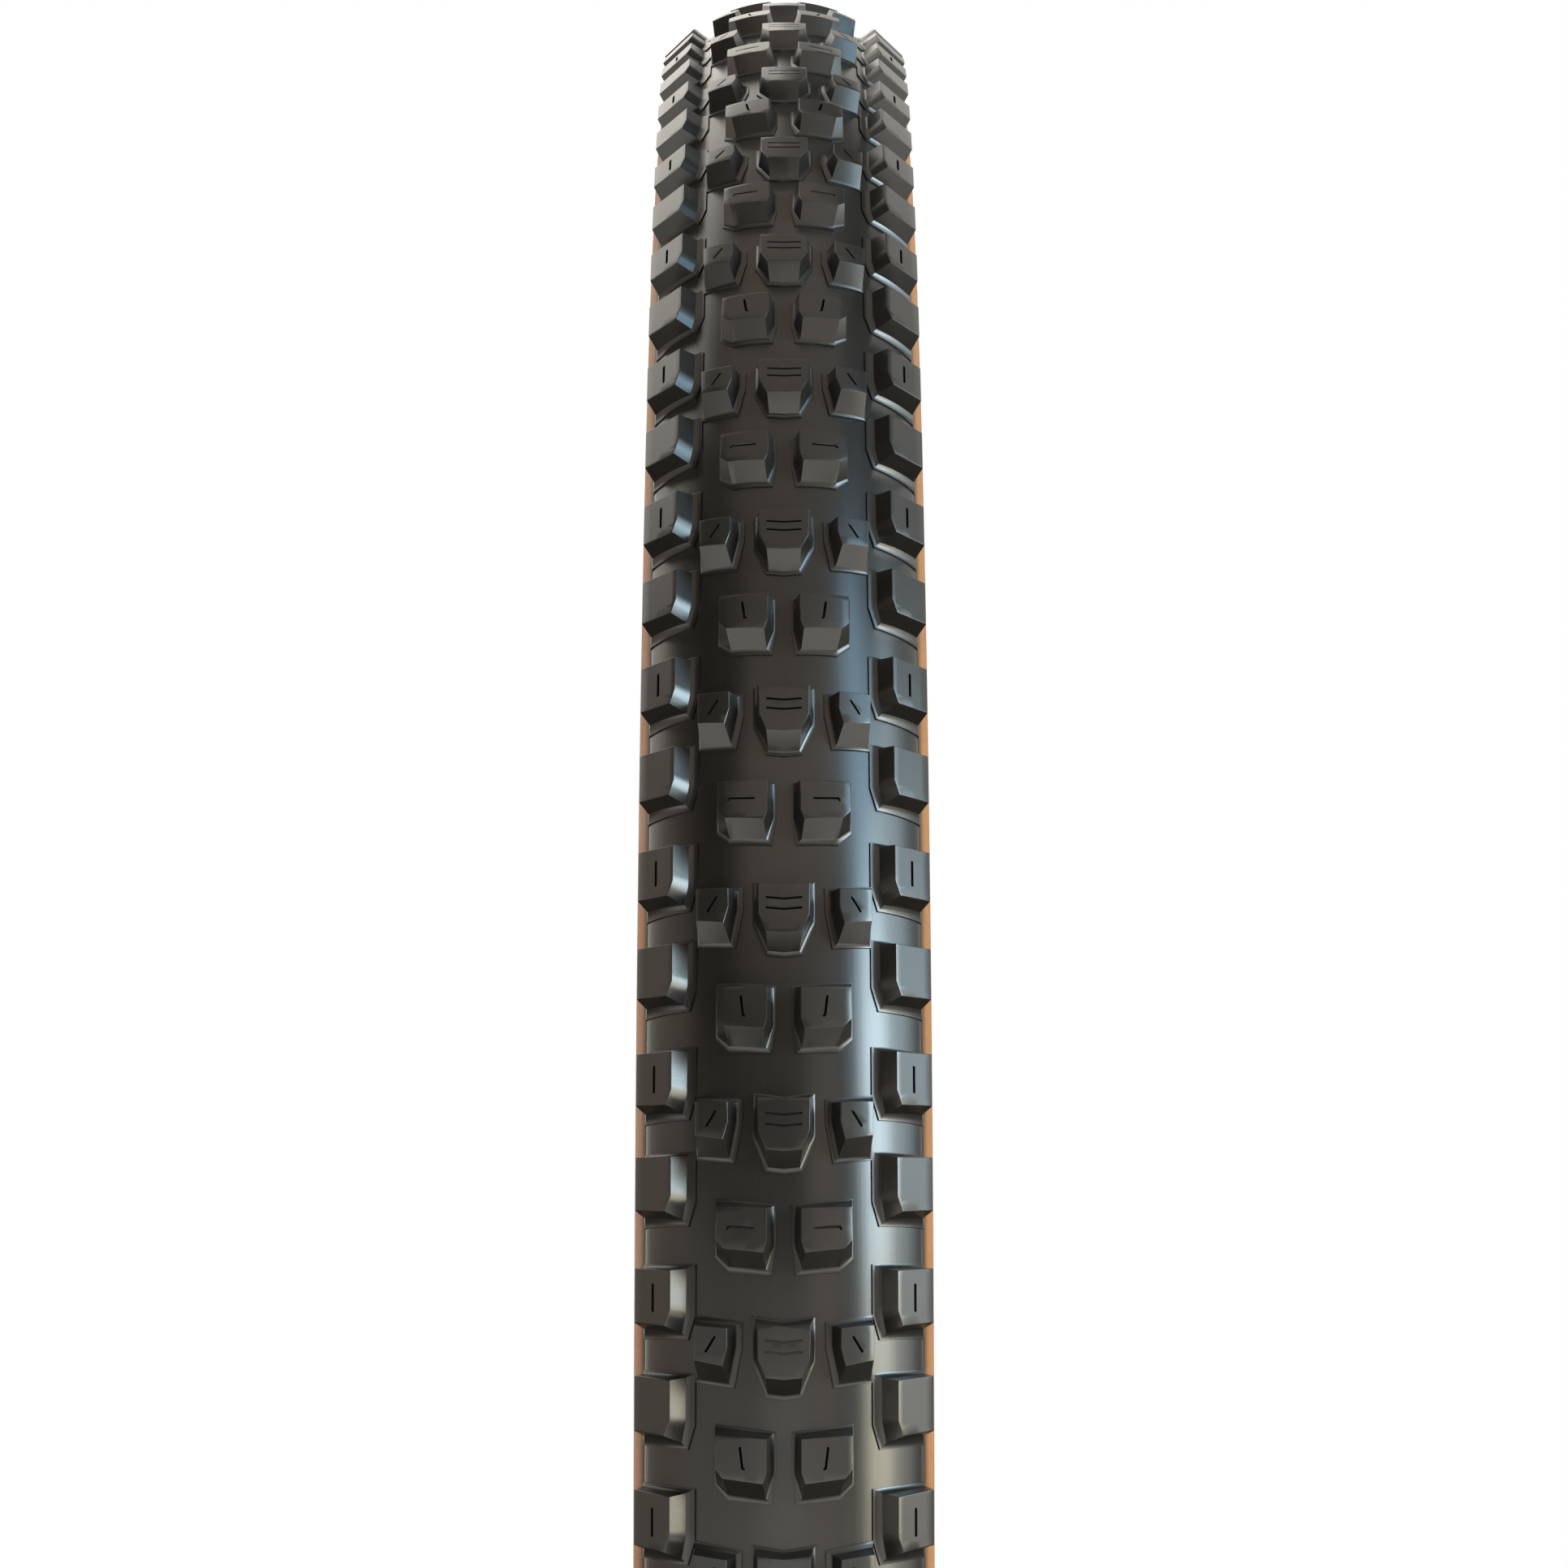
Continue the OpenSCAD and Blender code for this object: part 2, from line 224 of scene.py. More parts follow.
def offset_outline(points, runs):
    """A clockwise outline with each edge moved out by its own distance."""
    count = len(points)
    points = [np.array(p, float) for p in points]
    moved = []
    for i in range(count):
        a, b = points[i], points[(i + 1) % count]
        moved.append((a + runs[i] * outward(a, b), b - a))
    return [meet(*moved[i - 1], *moved[i]) for i in range(count)]


def edge_counts(points):
    """How many pieces each edge of a knob's outline is cut into, so that it can follow the tire."""
    count = len(points)
    lengths = [np.linalg.norm(np.subtract(points[(i + 1) % count], points[i])) for i in range(count)]
    return [max(1, round(length / EDGE_STEP)) for length in lengths]


def cut_edges(corners, counts):
    """The corners of an outline with evenly spaced points along each edge."""
    out = []
    for i, pieces in enumerate(counts):
        a = np.array(corners[i], float)
        b = np.array(corners[(i + 1) % len(corners)], float)
        out += [a + (b - a) * k / pieces for k in range(pieces)]
    return out


def inside_outline(x, y, outline):
    """Whether a point lies inside an outline, by how often a line from it crosses the edges."""
    inside = False
    for i in range(len(outline)):
        ax, ay = outline[i - 1][:2]
        bx, by = outline[i][:2]
        if (ay > y) != (by > y) and x < (bx - ax) * (y - ay) / (by - ay) + ax:
            inside = not inside
    return inside


def slot(points, width):
    """The outline of a slot of the given width that follows a line and has round ends."""
    radius = width / 2
    points = [np.array(p, float) for p in points]
    normals = [outward(a, b) for a, b in zip(points, points[1:])]
    left = [points[0] + radius * normals[0]]
    right = [points[0] - radius * normals[0]]
    for i in range(1, len(points) - 1):
        half = unit(normals[i - 1] + normals[i])
        reach = radius / (half @ normals[i])
        left.append(points[i] + reach * half)
        right.append(points[i] - reach * half)
    left.append(points[-1] + radius * normals[-1])
    right.append(points[-1] - radius * normals[-1])
    return left + round_end(points[-1], normals[-1], radius) + right[::-1] + round_end(
        points[0], -normals[0], radius
    )


def round_end(centre, start, radius):
    """Points round a half circle, clockwise from the start direction, without its two ends."""
    turned = np.array([start[1], -start[0]])
    angles = [math.pi * k / SIPE_END_STEPS for k in range(1, SIPE_END_STEPS)]
    return [centre + radius * (math.cos(a) * start + math.sin(a) * turned) for a in angles]


def fill(outline, holes, grid):
    """Triangles over an outline with holes. Extra points on a grid, if any, let the face curve.

    Returns the points, the outline's first and then each hole's, and the triangles."""
    points = [Vector(p[:2]) for p in outline]
    edges = [(i, (i + 1) % len(outline)) for i in range(len(outline))]
    for hole in holes:
        first = len(points)
        points += [Vector(p[:2]) for p in hole]
        edges += [(first + i, first + (i + 1) % len(hole)) for i in range(len(hole))]
    fixed = np.array([p[:] for p in points])
    if grid:
        low, high = fixed.min(0), fixed.max(0)
        for x in np.arange(low[0] + grid / 2, high[0], grid):
            for y in np.arange(low[1] + grid / 2, high[1], grid):
                clear = np.hypot(fixed[:, 0] - x, fixed[:, 1] - y).min() > GRID_CLEARANCE
                if clear and inside_outline(x, y, outline):
                    if not any(inside_outline(x, y, hole) for hole in holes):
                        points.append(Vector((x, y)))
    found, _, faces, origins, _, _ = geometry.delaunay_2d_cdt(points, edges, [], 0, WELD)
    index = [origin[0] for origin in origins]
    triangles = []
    for face in faces:
        middle = sum((found[i] for i in face), Vector((0, 0))) / len(face)
        if inside_outline(middle.x, middle.y, outline):
            if not any(inside_outline(middle.x, middle.y, hole) for hole in holes):
                triangles.append([index[i] for i in face])
    return [p[:] for p in points], without_slivers(triangles, {frozenset(e) for e in edges})


def sides(face):
    """The sides of a face, each as the pair of its ends in no order."""
    return [frozenset(pair) for pair in zip(face, face[1:] + face[:1])]


def without_slivers(triangles, border):
    """The triangles without the thin ones that lie beyond the border along its straight edges."""
    while True:
        uses = Counter(side for triangle in triangles for side in sides(triangle))
        kept = [t for t in triangles if all(side in border or uses[side] == 2 for side in sides(t))]
        if len(kept) == len(triangles):
            return kept
        triangles = kept


# Knobs. A prototype is a closed shell of points (height, y, distance round the tread).


class Shell:
    """Points, faces and how much painted shade each point gets, gathered for one mesh."""

    def __init__(self):
        self.points = []
        self.faces = []
        self.painted_shades = []

    def add(self, points, crease):
        """Adds points with an amount of painted shade from 0 to 1, and gives their numbers."""
        first = len(self.points)
        self.points += [tuple(p) for p in points]
        self.painted_shades += [crease] * len(points)
        return list(range(first, first + len(points)))

    def strip(self, ring, lower):
        """Adds the faces between two rings of points."""
        for i in range(len(ring)):
            j = (i + 1) % len(ring)
            self.faces.append([ring[i], ring[j], lower[j], lower[i]])

    def turn_outward(self):
        """Turns every face of the closed shell to look out of it."""
        mesh = bmesh.new()
        corners = [mesh.verts.new(p) for p in self.points]
        mesh.verts.index_update()
        for face in self.faces:
            mesh.faces.new([corners[i] for i in face])
        bmesh.ops.recalc_face_normals(mesh, faces=mesh.faces)
        self.faces = [[corner.index for corner in face.verts] for face in mesh.faces]
        mesh.free()


def knob_shell(face, foot, skirt, sipes, top, sipe_depth=SIPE_DEPTH):
    """One knob, from the outlines of its top, of the foot of its walls and of the band round it."""
    shell = Shell()
    counts = edge_counts(face)
    count = len(face)
    rises = [min(BAND_RISE_MAX, BAND_SLOPE * math.dist(a, b)) for a, b in zip(foot, skirt)]

    rim = cut_edges(offset_outline(face, [-EDGE_BEVEL] * count), counts)
    holes = [slot(points, SIPE_WIDTH) for points in sipes]
    flat, triangles = fill(rim, holes, FACE_GRID)
    shell.add([(top(y), y, s) for y, s in flat], 0.0)
    shell.faces += triangles
    first = len(rim)
    for hole in holes:
        sink_sipe(shell, hole, list(range(first, first + len(hole))), top, sipe_depth)
        first += len(hole)

    upper = list(range(len(rim)))
    edge = [np.array([top(y), y, s]) for y, s in cut_edges(face, counts)]
    base = cut_edges([(*p, BAND_STEP + rise) for p, rise in zip(foot, rises)], counts)
    base = [np.array([base_height(y, lift), y, s]) for y, s, lift in base]
    down = [unit(low - high) for low, high in zip(base, edge)]
    lower = shell.add([high + EDGE_BEVEL * way for high, way in zip(edge, down)], 0.0)
    rounded = []
    for i, high in enumerate(edge):
        chord = (np.array(shell.points[upper[i]]) + np.array(shell.points[lower[i]])) / 2
        rounded.append(chord + (high - chord) * ROUND_SHARE)
    middle = shell.add(rounded, 0.0)
    shell.strip(upper, middle)
    shell.strip(middle, lower)
    upper = lower

    for k in range(BAND_RINGS + 1):
        share = k / BAND_RINGS
        band = []
        for i in range(count):
            y, s = np.array(foot[i]) * (1 - share) + np.array(skirt[i]) * share
            band.append((y, s, BAND_STEP + rises[i] * (1 - share) ** 2))
        ring = [(base_height(y, lift), y, s) for y, s, lift in cut_edges(band, counts)]
        lower = shell.add(ring, 0.0)
        shell.strip(upper, lower)
        upper = lower

    # The root steps down below the tread base. Its points get full painted shade, which paints a
    # dark line at the band's foot.
    root = cut_edges(offset_outline(skirt, [ROOT_SPREAD] * count), counts)
    lower = shell.add([(base_height(y, -ROOT_DEPTH), y, s) for y, s in root], 1.0)
    shell.strip(upper, lower)
    _, bottom = fill(root, [], 0)
    shell.faces += [[lower[i] for i in t] for t in bottom]
    shell.turn_outward()
    return shell


def sink_sipe(shell, hole, ring, top, depth):
    """The walls and the floor of one sipe, below the ring of points round its opening."""
    middle = sum(p[0] for p in hole) / len(hole)
    step = 0.1
    lean = math.atan((top(middle + step) - top(middle - step)) / (2 * step))
    drop, shift = depth * math.cos(lean), depth * math.sin(lean)
    # The floors of deep sipes get full painted shade and are painted black. Shallow sipes get none.
    crease = 1.0 if depth > SHALLOW_SIPE else 0.0
    floor = shell.add([(top(y) - drop, y + shift, s) for y, s in hole], crease)
    shell.strip(ring, floor)
    _, inner = fill(hole, [], 0)
    shell.faces += [[floor[i] for i in t] for t in inner]


# Meshes


def add_mesh(name, points, faces, painted_shades=None, tones=None, sharp=RING_SHARP):
    """A mesh object from points in metres, with its faces turned outward."""
    mesh = bpy.data.meshes.new(name)
    mesh.from_pydata(points, [], faces)
    mesh.update()
    piece = bpy.data.objects.new(name, mesh)
    bpy.context.scene.collection.objects.link(piece)
    if signed_volume(mesh) < 0:
        mesh.flip_normals()
    for label, values in (("crease", painted_shades), ("tone", tones)):
        if values is not None:
            layer = mesh.attributes.new(label, "FLOAT", "POINT")
            layer.data.foreach_set("value", np.array(values, np.float32))
    mesh.shade_smooth()
    mesh.set_sharp_from_angle(angle=math.radians(sharp))
    return piece


def signed_volume(mesh):
    """The volume that a mesh encloses, negative if its faces look inward."""
    mesh.calc_loop_triangles()
    corners = np.zeros(len(mesh.loop_triangles) * 3, np.int32)
    mesh.loop_triangles.foreach_get("vertices", corners)
    places = np.zeros(len(mesh.vertices) * 3, np.float32)
    mesh.vertices.foreach_get("co", places)
    a, b, c = places.reshape(-1, 3)[corners.reshape(-1, 3)].transpose(1, 0, 2)
    return float((a * np.cross(b, c)).sum() / 6)


def round_tire(name, shells, side):
    """Copies of prototype shells round the tire. Each is (shell, first, step, shift, side)."""
    points, faces, painted_shades, tones = [], [], [], []
    for shell, first, step, shift, mirrored in shells:
        proto = np.array(shell.points)
        height, y, s = proto.T
        flip = side * mirrored < 0
        for i in range(first, HALF_REPEATS, step):
            start = sum(len(p) for p in points)
            angle = PATTERN_TURN + 2 * math.pi * i / HALF_REPEATS + (s + shift) / tire_radius
            placed = [height * np.cos(angle), side * mirrored * y, height * np.sin(angle)]
            points.append(np.stack(placed, 1) * MM)
            painted_shades += shell.painted_shades
            tones += [rng.random()] * len(proto)
            for face in shell.faces:
                row = [start + k for k in face]
                faces.append(row[::-1] if flip else row)
    return add_mesh(name, np.concatenate(points), faces, painted_shades, tones, sharp=KNOB_SHARP)


def revolve(name, section, side=1):
    """A ring from a closed section, turned round the axle."""
    section = np.array(section)
    rows = len(section)
    angles = 2 * np.pi * np.arange(RING_STEPS) / RING_STEPS
    height, y = section.T
    x = np.outer(np.cos(angles), height)
    z = np.outer(np.sin(angles), height)
    points = np.stack([x, np.broadcast_to(side * y, x.shape), z], -1).reshape(-1, 3) * MM
    faces = []
    for i in range(RING_STEPS):
        here, there = i * rows, (i + 1) % RING_STEPS * rows
        for k in range(rows):
            n = (k + 1) % rows
            faces.append([here + k, here + n, there + n, there + k])
    return add_mesh(name, points, faces)


def arc(centre, radius, start, end, steps):
    """Section points along an arc, both ends included."""
    return [polar(centre, radius, start + (end - start) * k / steps) for k in range(steps + 1)]


def casing_arc(lift, low, high):
    """The casing's section at a distance outside the plies, between two angles from the crown."""
    out = []
    if low < SHOULDER_START:
        end = min(high, SHOULDER_START)
        steps = max(FEWEST_STEPS, round((end - low) / CROWN_STEP))
        out += arc(crown_centre, casing_radius + lift, low, end, steps)
    if low < 90 and high > SHOULDER_START:
        start, end = max(low, SHOULDER_START), min(high, 90)
        steps = max(FEWEST_STEPS, round((end - start) / SIDE_STEP))
        out += arc(shoulder_centre, shoulder_radius + lift, start, end, steps)
    if high > 90:
        start = max(low, 90)
        steps = max(FEWEST_STEPS, round((high - start) / SIDE_STEP))
        out += arc(side_centre, SIDE_RADIUS + lift, start, high, steps)
    return without_repeats(out)


def without_repeats(points):
    """The points without those that lie on the one before."""
    out = [points[0]]
    for p in points[1:]:
        if math.dist(p, out[-1]) > REPEATED:
            out.append(p)
    return out


def mirrored(half):
    """A section made whole by mirroring its half, which starts at the centre plane."""
    other = [(h, -y) for h, y in reversed(half) if y > ON_CENTRE]
    return half + other


# Sub-parts. Each knob's outlines are its top, the foot of its walls and the skirt of the band
# round it, all with the same number of corners. A sipe is a line on the top. Only the right half
# of the shield knob is drawn, and its outlines end at a tip below and a point above.

SHIELD_HALF_FACE = [(5.2, 10.9), (5.1, 4.1), (3.58, 0.34)]
SHIELD_HALF_FOOT = [(5.61, 12.1), (5.73, 4), (3.14, -2.5)]
SHIELD_HALF_SKIRT = [(6.3, 12.9), (6.3, 3.55), (3.68, -3.25)]
SHIELD_FACE_ENDS = (0, 10.4)
SHIELD_FOOT_ENDS = (-2.88, 11.45)
SHIELD_SKIRT_ENDS = (-3.8, 11.9)
SHIELD_SIPE_STARTS = (5.0, 7.22)
SHIELD_SIPE_REACH = 3.45
SHIELD_SIPE_RISE = 0.4
SHIELD_SIPES = [
    [
        (-SHIELD_SIPE_REACH, start + SHIELD_SIPE_RISE),
        (0, start),
        (SHIELD_SIPE_REACH, start + SHIELD_SIPE_RISE),
    ]
    for start in SHIELD_SIPE_STARTS
]

TRANSITION_FACE = [(11.2, 10.2), (17.65, 11.1), (17.5, 4.1), (12.1, 2.85), (11.1, 6.4)]
TRANSITION_FOOT = [(9.4, 10.9), (17.2, 12.2), (16.9, 0.6), (10.75, -0.2), (9.4, 6.75)]
TRANSITION_SKIRT = [(8.15, 11.7), (17.4, 13.5), (17.3, 0), (9.7, -1.4), (8.2, 6.4)]
TRANSITION_SIPES = [[(13.55, 8.5), (15.25, 5.75)]]

PAIR_FACE = [(3.35, 33.5), (13.3, 34.25), (13.35, 27.6), (11.9, 25.85), (4.1, 24.8), (3.35, 27)]
PAIR_FOOT = [(2.25, 34.5), (13.35, 36), (13.2, 25.1), (10.85, 22.75), (3.55, 22), (2.1, 26.8)]
PAIR_SKIRT = [(1.5, 34.95), (13.5, 36.6), (13.5, 24.5), (10.9, 21.6), (2.45, 20.8), (1.55, 26.6)]
TRANSVERSE_SIPES = [[(6.05, 29.6), (10.9, 30.1), (11.15, 29.7)]]
LONGITUDINAL_SIPES = [[(7.8, 27.7), (8.1, 27.9), (8.56, 31.8)]]

SIDE_FACE = [(22.35, 22.15), (29.4, 23.5), (29.4, 12.4), (23.4, 11.2), (22.35, 14.2)]
SIDE_FOOT = [(19.15, 22.85), (27.5, 24.2), (27.5, 11.4), (19.95, 9.9), (19.2, 14.05)]
SIDE_SKIRT = [(17.37, 23.7), (27.6, 25), (27.6, 9.5), (18.8, 8.5), (17.4, 13.4)]
SIDE_SIPES = [[(25.75, 14.4), (25.75, 19.75)]]
PLAIN_SHIFT = -21.9


def shield_outline(half, ends):
    """A whole outline from its right half, from the top corner down, and its tip and top point."""
    tip, top = ends
    return half + [(0, tip)] + [(-y, s) for y, s in reversed(half)] + [(0, top)]


def shield_knobs():
    """The shield-shaped knobs on the centre line, one in each half repeat."""
    shell = knob_shell(
        shield_outline(SHIELD_HALF_FACE, SHIELD_FACE_ENDS),
        shield_outline(SHIELD_HALF_FOOT, SHIELD_FOOT_ENDS),
        shield_outline(SHIELD_HALF_SKIRT, SHIELD_SKIRT_ENDS),
        SHIELD_SIPES,
        crown_top,
        SHALLOW_SIPE,
    )
    return round_tire("centre_shield_knobs_rubber", [(shell, 0, 1, 0, 1)], 1)


def pair_knobs(name, sipes, sipe_depth, first):
    """The paired centre blocks of every other half repeat, with one kind of sipe."""
    shell = knob_shell(PAIR_FACE, PAIR_FOOT, PAIR_SKIRT, sipes, crown_top, sipe_depth)
    return round_tire(name, [(shell, first, 2, 0, 1), (shell, first, 2, 0, -1)], 1)


def transition_knobs(name, side):
    """The small knobs between the centre and the shoulder on one side."""
    shell = knob_shell(
        TRANSITION_FACE, TRANSITION_FOOT, TRANSITION_SKIRT, TRANSITION_SIPES, crown_top
    )
    return round_tire(name, [(shell, 0, 1, 0, 1)], side)


def side_knobs(name, sipes, shift, side):
    """The edge knobs of one side, shifted round the tread, with or without sipes."""
    shell = knob_shell(SIDE_FACE, SIDE_FOOT, SIDE_SKIRT, sipes, side_top)
    return round_tire(name, [(shell, 0, 1, shift, 1)], side)


def tread_base():
    """The tread rubber between the knobs, rounded off at its two edges."""
    outer = casing_arc(TREAD_BASE, 0, TREAD_EDGE)
    rounding = TREAD_BASE - SKIN
    corner = polar(shoulder_centre, shoulder_radius + SKIN, TREAD_EDGE)
    outer += arc(corner, rounding, TREAD_EDGE, TREAD_EDGE + 90, ROUNDING_STEPS)[1:]
    inner = casing_arc(HAIR, BREAKER_EDGE, TREAD_EDGE)[::-1]
    under = casing_arc(BREAKER + HAIR, 0, BREAKER_EDGE)[::-1]
    return revolve("tread_base_rubber", mirrored(outer + inner + under))


def sidewall(name, side):
    """The tan skin from the edge of the tread down to the chafer."""
    outer = casing_arc(SKIN, TREAD_EDGE, 90 + CHAFER_TOP)
    inner = casing_arc(HAIR, TREAD_EDGE, 90 + CHAFER_TOP)
    return revolve(name, outer + inner[::-1], side)


def chafer(name, side):
    """The dark strip from the lower sidewall round the bead to its toe."""
    outer = casing_arc(SKIN, 90 + CHAFER_TOP, 90 + flange_angle)
    flange_end = 270 + flange_angle
    outer += arc(flange_centre, FLANGE_RADIUS - SKIN, flange_end, 270, FILLET_STEPS)[1:]
    heel = (bead_seat + HEEL_ROUNDING, bead_face - HEEL_ROUNDING)
    outer += arc(heel, HEEL_ROUNDING, 90, 180, ROUNDING_STEPS)
    toe = (bead_seat + TOE_ROUNDING, toe_face + TOE_ROUNDING)
    outer += arc(toe, TOE_ROUNDING, 180, 270, TOE_STEPS)
    top = bead_seat + TOE_HEIGHT
    outer.append((top, toe_face))
    loop = loop_radius + HAIR
    meets = 270 - math.degrees(math.asin((core[0] - top) / loop))
    inner = arc(core, loop, meets, 90, CORE_STEPS)
    inner += arc(flange_centre, FLANGE_RADIUS - HAIR, 270, flange_end, FILLET_STEPS)
    inner += casing_arc(HAIR, 90 + CHAFER_TOP, 90 + flange_angle)[::-1]
    return revolve(name, without_repeats(outer + inner), side)


def inner_liner():
    """The airtight rubber inside the casing, from one bead's toe to the other's."""
    outside = -2 * PLY - HAIR
    inside = -2 * PLY - LINER
    top = bead_seat + TOE_HEIGHT
    outer = casing_arc(outside, 0, 90 + toe_angle)
    outer += arc(toe_centre, TOE_RADIUS - outside, 270 + toe_angle, 270, FILLET_STEPS)[1:]
    outer.append((top, toe_face + LINER - HAIR))
    inner = [(top, toe_face)]
    inner += arc(toe_centre, TOE_RADIUS - inside, 270, 270 + toe_angle, FILLET_STEPS)
    inner += casing_arc(inside, 0, 90 + toe_angle)[::-1][1:]
    return revolve("inner_liner_rubber", mirrored(without_repeats(outer + inner)))


# Materials. A noise's scale is about its cycles to the metre, and bump heights are in metres.

# The part of a noise's range that is stretched to run between two values
NOISE_LOW = 0.3
NOISE_HIGH = 0.7
# The near black colour painted as shade at the foot of each knob's band and on deep sipe floors
PAINTED_SHADE_BLACK = (0.002, 0.002, 0.002, 1)


class Nodes:
    """A small helper that adds nodes to a node tree and joins them."""

    def __init__(self, tree):
        self.tree = tree

    def node(self, kind, inputs, out=0, **settings):
        """One output of a new node with its settings and inputs."""
        made = self.tree.nodes.new(kind)
        for key, value in settings.items():
            setattr(made, key, value)
        for key, value in inputs.items():
            self.join(value, made.inputs[key])
        return made.outputs[out]

    def join(self, value, socket):
        """Links another node's output to a socket, or puts a plain value in it."""
        if isinstance(value, bpy.types.NodeSocket):
            self.tree.links.new(value, socket)
        else:
            socket.default_value = value

    def axes(self, place):
        """The three coordinates of a place."""
        made = self.tree.nodes.new("ShaderNodeSeparateXYZ")
        self.join(place, made.inputs[0])
        return made.outputs

    def math(self, operation, a, b=0.0):
        return self.node("ShaderNodeMath", {0: a, 1: b}, operation=operation)

    def fit(self, value, low, high, to_low=0.0, to_high=1.0, smooth=False):
        """A value moved from one range to another, and kept inside it."""
        inputs = {"Value": value, "From Min": low, "From Max": high}
        inputs |= {"To Min": to_low, "To Max": to_high}
        kind = "SMOOTHSTEP" if smooth else "LINEAR"
        return self.node("ShaderNodeMapRange", inputs, interpolation_type=kind)

    def scaled(self, colour, amount):
        """A colour times an amount."""
        inputs = {0: colour[:3], 3: amount}
        return self.node("ShaderNodeVectorMath", inputs, operation="SCALE")


class Shader(Nodes):
    """The nodes of a new material."""

    def __init__(self, name):
        self.material = bpy.data.materials.new(name)
        self.material.use_nodes = True
        super().__init__(self.material.node_tree)
        self.principled = self.tree.nodes["Principled BSDF"]
        self.place = self.tree.nodes.new("ShaderNodeTexCoord").outputs["Object"]

    def noise(self, scale, detail, place=None):
        place = self.place if place is None else place
        inputs = {"Vector": place, "Scale": scale, "Detail": detail}
        return self.node("ShaderNodeTexNoise", inputs)

    def vary(self, noise, low, high):
        """A noise stretched to run between two values."""
        return self.fit(noise, NOISE_LOW, NOISE_HIGH, low, high)

    def blend(self, a, share_a, b, share_b):
        """The sum of a share of each of two values."""
        return self.math("ADD", self.math("MULTIPLY", a, share_a), self.math("MULTIPLY", b, share_b))

    def mix(self, factor, a, b):
        """A colour between two others."""
        inputs = {0: factor, 6: a, 7: b}
        return self.node("ShaderNodeMix", inputs, out=2, data_type="RGBA")

    def attribute(self, name):
        """A value that the mesh holds for each point."""
        return self.node("ShaderNodeAttribute", {}, out="Fac", attribute_name=name)

    def bump(self, height, strength, distance):
        inputs = {"Height": height, "Strength": strength, "Distance": distance}
        return self.node("ShaderNodeBump", inputs)

    def finish(self, **sockets):
        """Joins the material's colour, roughness and so on, and gives the material."""
        names = {"base": "Base Color", "roughness": "Roughness", "normal": "Normal"}
        names |= {"metallic": "Metallic", "specular": "Specular IOR Level"}
        for key, value in sockets.items():
            self.join(value, self.principled.inputs[names[key]])
        return self.material


def rgb(red, green, blue):
    """A colour from display values of 0 to 255."""

    def linear(value):
        value /= 255
        return value / 12.92 if value <= 0.04045 else ((value + 0.055) / 1.055) ** 2.4

    return (linear(red), linear(green), linear(blue), 1.0)


def weave(s, around_scale, across_scale):
    """Two families of crossing threads, each as a wave from -1 to 1."""
    x, y, z = s.axes(s.place)
    radius = s.math("SQRT", s.math("ADD", s.math("MULTIPLY", x, x), s.math("MULTIPLY", z, z)))
    across = s.math("MULTIPLY", s.math("SUBTRACT", y, radius), across_scale)
    around = s.math("MULTIPLY", s.math("ARCTAN2", z, x), around_scale)
    one = s.math("SINE", s.math("ADD", around, across))
    two = s.math("SINE", s.math("SUBTRACT", around, across))
    return one, two


def knob_rubber(name, base, grain):
    """Satin moulded rubber with a fine grain, a tone for each knob, and painted shade: near black
    where the mesh marks its points.
    """
    s = Shader(name)
    blotch = s.noise(60, 3)
    tone = s.fit(s.attribute("tone"), 0, 1, 0.92, 1.08)
    colour = s.scaled(base, s.math("MULTIPLY", s.vary(blotch, 0.93, 1.07), tone))
    # Painted shade: the marked points are mixed towards near black and made rougher
    crease = s.fit(s.attribute("crease"), 0.25, 0.9, 0, 0.85)
    height = s.blend(s.noise(5200, 2), 0.6, s.noise(900, 2), 0.4)
    return s.finish(
        base=s.mix(crease, colour, PAINTED_SHADE_BLACK),
        roughness=s.math("ADD", s.vary(blotch, 0.27, 0.285), s.math("MULTIPLY", crease, 0.3)),
        normal=s.bump(height, grain, 0.0001),
    )


def base_rubber(name, base):
    """Tread rubber with faint lines round the tire, left by the mould."""
    s = Shader(name)
    x, y, z = s.axes(s.place)
    stretch = 0.02
    place = {0: s.math("MULTIPLY", x, stretch), 1: y, 2: s.math("MULTIPLY", z, stretch)}
    lines = s.node("ShaderNodeCombineXYZ", place)
    streak = s.noise(2200, 3, lines)
    band = s.noise(380, 2, lines)
    blotch = s.noise(45, 3)
    shade = s.math("MULTIPLY", s.vary(blotch, 0.92, 1.08), s.vary(streak, 0.95, 1.05))
    height = s.blend(streak, 0.7, s.noise(4200, 2), 0.3)
    return s.finish(
        base=s.scaled(base, shade),
        roughness=s.fit(s.math("ADD", band, s.math("MULTIPLY", blotch, 0.5)), 0.5, 1, 0.24, 0.28),
        normal=s.bump(height, 0.1, 0.0001),
    )


def tan_rubber(name, base, edge):
    """Tan skim rubber through which the cords of the casing show, dark along its two edges."""
    s = Shader(name)
    one, two = weave(s, 2600, 7400)
    cords = s.math("MAXIMUM", one, s.math("MULTIPLY", two, 0.8))
    blotch = s.noise(35, 4)
    fleck = s.noise(700, 2)
    shade = s.math("MULTIPLY", s.vary(blotch, 0.88, 1.1), s.vary(fleck, 0.94, 1.06))
    shade = s.math("MULTIPLY", shade, s.fit(cords, -1, 1, 0.93, 1.05))
    across = s.math("ABSOLUTE", s.axes(s.place)[1])
    fade = s.fit(across, FADE_START * MM, FADE_END * MM, smooth=True)
    return s.finish(
        base=s.mix(fade, edge, s.scaled(base, shade)),
        roughness=s.vary(blotch, 0.5, 0.62),
        specular=0.2,
        normal=s.bump(s.blend(cords, 0.5, fleck, 0.5), 0.25, 0.0002),
    )


